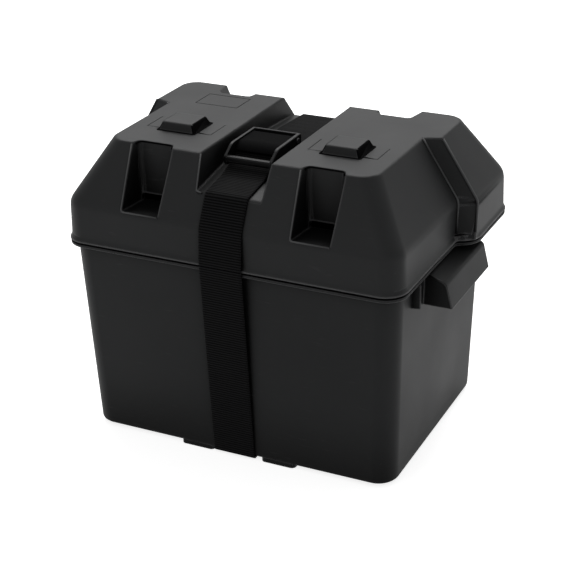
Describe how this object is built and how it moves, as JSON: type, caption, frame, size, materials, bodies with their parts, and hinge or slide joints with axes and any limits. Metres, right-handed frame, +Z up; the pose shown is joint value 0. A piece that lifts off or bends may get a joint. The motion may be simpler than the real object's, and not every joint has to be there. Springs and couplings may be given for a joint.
{
  "type": "battery box",
  "caption": "Black plastic battery box with a tapered bin, a lift-off humped lid with cable pockets and grip knobs, and a webbing strap held by a cam-lever buckle.",
  "frame": {"origin": "on the floor, under the middle of the bin", "axes": "+Z up, +X along the long side, -Y towards the front, the side that the buckle's lip points to"},
  "size_m": [0.3416, 0.2284, 0.2705],
  "materials": {
    "bin_plastic": "fine moulded grain, satin",
    "lid_plastic": "fine moulded grain, satin",
    "webbing": "woven, ribbed across",
    "buckle_plastic": "smooth moulded, satin",
    "lever_plastic": "smooth moulded, satin",
    "pin_steel": "zinc plated"
  },
  "bodies": {
    "base": {"bin": "bin_plastic", "strap_under": "webbing"},
    "lid_body": {"lid": "lid_plastic"},
    "front_strap_body": {"strap_front": "webbing", "strap_tail": "webbing", "buckle_frame": "buckle_plastic", "buckle_pin": "pin_steel"},
    "lever_body": {"buckle_lever": "lever_plastic"},
    "rear_strap_body": {"strap_rear": "webbing"}
  },
  "joints": [
    {"name": "lid_lift", "type": "slide", "parent": "base", "child": "lid_body", "axis": [0, 0, 1], "range_m": [0, 0.06]},
    {"name": "front_strap_fold", "type": "hinge", "parent": "base", "child": "front_strap_body", "pos_m": [-0.0014, -0.116, 0.18], "axis": [1, 0, 0], "range_deg": [0, 155]},
    {"name": "rear_strap_fold", "type": "hinge", "parent": "base", "child": "rear_strap_body", "pos_m": [-0.0014, 0.116, 0.18], "axis": [-1, 0, 0], "range_deg": [0, 138]},
    {"name": "buckle_lever_hinge", "type": "hinge", "parent": "front_strap_body", "child": "lever_body", "pos_m": [-0.0014, -0.0126, 0.2574], "axis": [-1, 0, 0], "range_deg": [0, 95]}
  ],
  "couplings": [
    {"joint": "front_strap_fold", "follows": "lid_lift", "rad_per_m": 45},
    {"joint": "rear_strap_fold", "follows": "lid_lift", "rad_per_m": 40}
  ]
}
